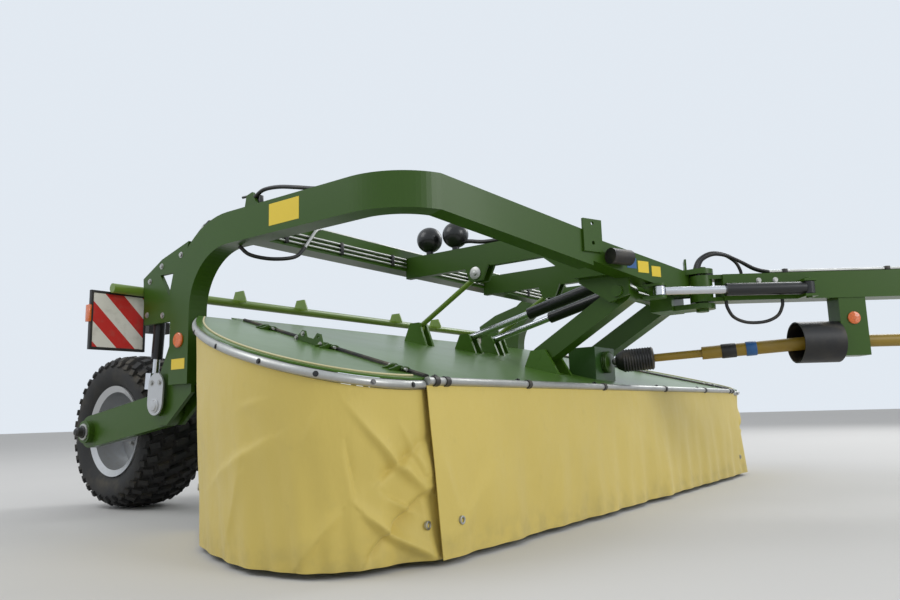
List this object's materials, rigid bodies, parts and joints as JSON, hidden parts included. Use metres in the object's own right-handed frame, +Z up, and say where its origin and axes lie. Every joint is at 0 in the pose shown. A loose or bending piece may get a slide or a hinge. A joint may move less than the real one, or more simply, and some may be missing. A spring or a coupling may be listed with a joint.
{
  "type": "disc mower conditioner",
  "caption": "Trailed disc mower conditioner with a swinging drawbar, portal frame, floating cutting header, cloth guards and tined rotor.",
  "frame": {"origin": "centre of the hitch eye's bore at the drawbar's front end", "axes": "+X the way the machine travels, +Y to its left, +Z up"},
  "size_m": [6.3582, 4.3947, 1.512],
  "materials": {
    "black": "black",
    "blackpaint": "black paint",
    "board": "red and white board",
    "chrome": "chromed rod",
    "curtain": "coated cream cloth",
    "dark": "green in shade",
    "green": "gloss farm green",
    "pale": "gloss farm green tube",
    "rim": "silver wheel paint",
    "steel": "galvanised",
    "tyre": "tyre rubber",
    "yellow": "yellow guard"
  },
  "bodies": {
    "frame": {"arch_right": "green", "arch_left": "green", "front_head": "green", "cross_beam": "green", "pivot_covers": "green", "light_bar": "pale", "warning_boards": "board", "rear_lamps": "black", "accumulators": "black", "document_tube": "black", "beam_pipes": "steel"},
    "drawbar": {"drawbar": "green", "hitch_eye": "steel", "drive_line": "yellow", "drive_cone": "black", "jack_sleeve": "green"},
    "jack_leg": {"jack_leg": "steel"},
    "swing_barrel": {"swing_barrel": "blackpaint"},
    "swing_rod": {"swing_rod": "chrome"},
    "shaft_front": {"shaft_front": "yellow"},
    "shaft_rear": {"shaft_rear": "black"},
    "shaft_cross_front": {"shaft_cross_front": "steel"},
    "shaft_cross_rear": {"shaft_cross_rear": "steel"},
    "lower_link": {"lower_link": "green"},
    "upper_links": {"upper_links": "pale"},
    "relief_barrels": {"relief_barrels": "blackpaint"},
    "relief_rods": {"relief_rods": "chrome"},
    "swing_arm_right": {"swing_arm_right": "green"},
    "swing_arm_left": {"swing_arm_left": "green"},
    "wheel_right": {"wheel_rim_right": "rim", "tyre_right": "tyre"},
    "wheel_left": {"wheel_rim_left": "rim", "tyre_left": "tyre"},
    "lift_barrel_right": {"lift_barrel_right": "blackpaint"},
    "lift_barrel_left": {"lift_barrel_left": "blackpaint"},
    "lift_rod_right": {"lift_rod_right": "chrome"},
    "lift_rod_left": {"lift_rod_left": "chrome"},
    "header": {"header_deck": "green", "header_sides": "dark", "edge_tube_front": "steel", "front_curtain": "curtain", "cutter_bar": "dark", "gearbox": "green"},
    "rotor": {"rotor": "dark"},
    "swath_board_right": {"swath_board_right": "green"},
    "swath_board_left": {"swath_board_left": "green"},
    "wing_right": {"wing_right": "green", "side_curtain_right": "curtain"},
    "wing_left": {"wing_left": "green", "side_curtain_left": "curtain"},
    "disc_1": {"disc_1": "green"},
    "disc_2": {"disc_2": "green"},
    "disc_3": {"disc_3": "green"},
    "disc_4": {"disc_4": "green"},
    "disc_5": {"disc_5": "green"},
    "disc_6": {"disc_6": "green"},
    "disc_7": {"disc_7": "green"},
    "disc_8": {"disc_8": "green"},
    "disc_9": {"disc_9": "green"}
  },
  "joints": [
    {"name": "drawbar_swing", "type": "hinge", "parent": "frame", "child": "drawbar", "pos_m": [-2.99336, -2.17481, 0.555], "axis": [0, 0, 1], "range_deg": [-72, 0]},
    {"name": "swing_barrel_turn", "type": "hinge", "parent": "drawbar", "child": "swing_barrel", "pos_m": [-2.54259, -1.99563, 0.532], "axis": [0, 0, 1], "range_deg": [0, 19.86]},
    {"name": "swing_rod_slide", "type": "slide", "parent": "swing_barrel", "child": "swing_rod", "axis": [-0.7886, -0.6149, 0], "range_m": [-0.28039, 0.002]},
    {"name": "jack_slide", "type": "slide", "parent": "drawbar", "child": "jack_leg", "axis": [0, 0, 1], "range_m": [0, 0.35]},
    {"name": "wheel_arm_right", "type": "hinge", "parent": "frame", "child": "swing_arm_right", "pos_m": [-5.17336, -3.65981, 0.05], "axis": [0, 1, 0], "range_deg": [-25, 0]},
    {"name": "wheel_spin_right", "type": "hinge", "parent": "swing_arm_right", "child": "wheel_right", "pos_m": [-5.87336, -3.38481, -0.055], "axis": [0, 1, 0], "continuous": true},
    {"name": "lift_barrel_right_turn", "type": "hinge", "parent": "frame", "child": "lift_barrel_right", "pos_m": [-5.27336, -3.65981, 0.52], "axis": [0, 1, 0], "range_deg": [0, 5.16]},
    {"name": "lift_rod_right_slide", "type": "slide", "parent": "lift_barrel_right", "child": "lift_rod_right", "axis": [-0.0924, 0, -0.9957], "range_m": [-0.001, 0.07433]},
    {"name": "wheel_arm_left", "type": "hinge", "parent": "frame", "child": "swing_arm_left", "pos_m": [-5.17336, -0.68981, 0.05], "axis": [0, 1, 0], "range_deg": [-25.5, 0.5]},
    {"name": "wheel_spin_left", "type": "hinge", "parent": "swing_arm_left", "child": "wheel_left", "pos_m": [-5.87336, -0.96481, -0.055], "axis": [0, 1, 0], "continuous": true},
    {"name": "lift_barrel_left_turn", "type": "hinge", "parent": "frame", "child": "lift_barrel_left", "pos_m": [-5.27336, -0.68981, 0.52], "axis": [0, 1, 0], "range_deg": [0, 5.16]},
    {"name": "lift_rod_left_slide", "type": "slide", "parent": "lift_barrel_left", "child": "lift_rod_left", "axis": [-0.0924, 0, -0.9957], "range_m": [-0.001, 0.07433]},
    {"name": "header_float", "type": "hinge", "parent": "frame", "child": "lower_link", "pos_m": [-3.27336, -2.17481, 0.54], "axis": [0, 1, 0], "range_deg": [-4, 9]},
    {"name": "header_level", "type": "hinge", "parent": "lower_link", "child": "header", "pos_m": [-3.73336, -2.17481, 0.265], "axis": [0, 1, 0], "range_deg": [-9.5, 4.5]},
    {"name": "upper_link_turn", "type": "hinge", "parent": "frame", "child": "upper_links", "pos_m": [-4.03336, -2.17481, 0.72], "axis": [0, 1, 0], "range_deg": [-4.88, 10.36]},
    {"name": "relief_barrel_turn", "type": "hinge", "parent": "frame", "child": "relief_barrels", "pos_m": [-3.43336, -2.17481, 0.635], "axis": [0, 1, 0], "range_deg": [-2.76, 5.58]},
    {"name": "relief_rod_slide", "type": "slide", "parent": "relief_barrels", "child": "relief_rods", "axis": [-0.9701, 0, -0.2425], "range_m": [-0.01215, 0.02484]},
    {"name": "shaft_yaw_rear", "type": "hinge", "parent": "header", "child": "shaft_cross_rear", "pos_m": [-3.46336, -2.17481, 0.232], "axis": [0, 0, 1], "range_deg": [-39.08, 0]},
    {"name": "shaft_pitch_rear", "type": "hinge", "parent": "shaft_cross_rear", "child": "shaft_rear", "pos_m": [-3.46336, -2.17481, 0.232], "axis": [-0.3303, 0.9439, 0], "range_deg": [-2.47, 4.93]},
    {"name": "shaft_yaw_front", "type": "hinge", "parent": "drawbar", "child": "shaft_cross_front", "pos_m": [-2.55649, -1.85741, 0.282], "axis": [0, 0, 1], "range_deg": [0, 33.92]},
    {"name": "shaft_pitch_front", "type": "hinge", "parent": "shaft_cross_front", "child": "shaft_front", "pos_m": [-2.55649, -1.85741, 0.282], "axis": [-0.3303, 0.9439, 0], "range_deg": [-2.47, 4.93]},
    {"name": "rotor_spin", "type": "hinge", "parent": "header", "child": "rotor", "pos_m": [-4.45336, -2.17481, -0.08], "axis": [0, 1, 0], "continuous": true},
    {"name": "disc_spin_1", "type": "hinge", "parent": "header", "child": "disc_1", "pos_m": [-3.82336, -3.69481, -0.35], "axis": [0, 0, 1], "continuous": true},
    {"name": "disc_spin_2", "type": "hinge", "parent": "header", "child": "disc_2", "pos_m": [-3.82336, -3.31481, -0.35], "axis": [0, 0, 1], "continuous": true},
    {"name": "disc_spin_3", "type": "hinge", "parent": "header", "child": "disc_3", "pos_m": [-3.82336, -2.93481, -0.35], "axis": [0, 0, 1], "continuous": true},
    {"name": "disc_spin_4", "type": "hinge", "parent": "header", "child": "disc_4", "pos_m": [-3.82336, -2.55481, -0.35], "axis": [0, 0, 1], "continuous": true},
    {"name": "disc_spin_5", "type": "hinge", "parent": "header", "child": "disc_5", "pos_m": [-3.82336, -2.17481, -0.35], "axis": [0, 0, 1], "continuous": true},
    {"name": "disc_spin_6", "type": "hinge", "parent": "header", "child": "disc_6", "pos_m": [-3.82336, -1.79481, -0.35], "axis": [0, 0, 1], "continuous": true},
    {"name": "disc_spin_7", "type": "hinge", "parent": "header", "child": "disc_7", "pos_m": [-3.82336, -1.41481, -0.35], "axis": [0, 0, 1], "continuous": true},
    {"name": "disc_spin_8", "type": "hinge", "parent": "header", "child": "disc_8", "pos_m": [-3.82336, -1.03481, -0.35], "axis": [0, 0, 1], "continuous": true},
    {"name": "disc_spin_9", "type": "hinge", "parent": "header", "child": "disc_9", "pos_m": [-3.82336, -0.65481, -0.35], "axis": [0, 0, 1], "continuous": true},
    {"name": "swath_board_right_turn", "type": "hinge", "parent": "header", "child": "swath_board_right", "pos_m": [-4.86336, -3.07681, -0.08], "axis": [0, 0, 1], "range_deg": [-20, 8]},
    {"name": "swath_board_left_turn", "type": "hinge", "parent": "header", "child": "swath_board_left", "pos_m": [-4.86336, -1.27281, -0.08], "axis": [0, 0, 1], "range_deg": [-8, 20]},
    {"name": "wing_fold_right", "type": "hinge", "parent": "header", "child": "wing_right", "pos_m": [-3.36935, -3.91831, 0.11049], "axis": [-0.9438, 0.2228, 0.2441], "range_deg": [0, 60]},
    {"name": "wing_fold_left", "type": "hinge", "parent": "header", "child": "wing_left", "pos_m": [-3.36935, -0.43131, 0.11049], "axis": [0.9438, 0.2228, -0.2441], "range_deg": [0, 60]}
  ],
  "couplings": [
    {"joint": "swing_barrel_turn", "follows": "drawbar_swing", "ratio": -0.26894},
    {"joint": "swing_rod_slide", "follows": "drawbar_swing", "m_per_rad": 0.22154},
    {"joint": "lift_barrel_right_turn", "follows": "wheel_arm_right", "ratio": -0.18655},
    {"joint": "lift_rod_right_slide", "follows": "wheel_arm_right", "m_per_rad": -0.16577},
    {"joint": "wheel_arm_left", "follows": "wheel_arm_right", "ratio": 1},
    {"joint": "lift_barrel_left_turn", "follows": "wheel_arm_right", "ratio": -0.18655},
    {"joint": "lift_rod_left_slide", "follows": "wheel_arm_right", "m_per_rad": -0.16577},
    {"joint": "header_level", "follows": "header_float", "ratio": -1},
    {"joint": "upper_link_turn", "follows": "header_float", "ratio": 1.096},
    {"joint": "relief_barrel_turn", "follows": "header_float", "ratio": 0.56466},
    {"joint": "relief_rod_slide", "follows": "header_float", "m_per_rad": 0.14538},
    {"joint": "shaft_yaw_rear", "follows": "drawbar_swing", "ratio": 0.53583},
    {"joint": "shaft_pitch_rear", "follows": "header_float", "ratio": 0.49224},
    {"joint": "shaft_yaw_front", "follows": "drawbar_swing", "ratio": -0.46417},
    {"joint": "shaft_pitch_front", "follows": "header_float", "ratio": 0.49224},
    {"joint": "disc_spin_1", "follows": "disc_spin_5", "ratio": 1},
    {"joint": "disc_spin_2", "follows": "disc_spin_5", "ratio": -1},
    {"joint": "disc_spin_3", "follows": "disc_spin_5", "ratio": 1},
    {"joint": "disc_spin_4", "follows": "disc_spin_5", "ratio": -1},
    {"joint": "disc_spin_6", "follows": "disc_spin_5", "ratio": -1},
    {"joint": "disc_spin_7", "follows": "disc_spin_5", "ratio": 1},
    {"joint": "disc_spin_8", "follows": "disc_spin_5", "ratio": -1},
    {"joint": "disc_spin_9", "follows": "disc_spin_5", "ratio": 1}
  ]
}
